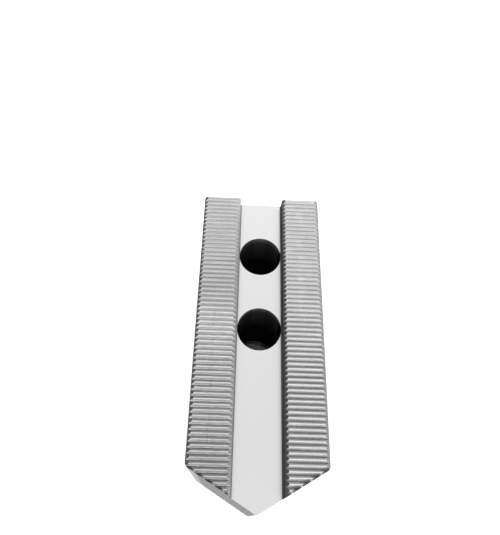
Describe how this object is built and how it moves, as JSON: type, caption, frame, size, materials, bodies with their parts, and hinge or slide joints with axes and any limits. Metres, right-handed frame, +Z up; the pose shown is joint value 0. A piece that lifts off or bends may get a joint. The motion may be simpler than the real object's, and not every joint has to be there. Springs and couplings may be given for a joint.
{
  "type": "machinable soft jaw",
  "caption": "Pointed machinable steel soft jaw with a serrated mounting face, a central key groove and counterbored screw holes, for a power lathe chuck.",
  "frame": {"origin": "middle of the bounding box's bottom, on the clamping face that the jaw stands on", "axes": "+Z up, out of the serrated mounting face; +Y along the jaw's length from the point to the flat end; +X across its width"},
  "size_m": [0.0384, 0.095, 0.052],
  "materials": {
    "milled_steel": "milled and ground bright steel, unplated"
  },
  "bodies": {
    "root": {"soft_jaw": "milled_steel"}
  },
  "joints": []
}
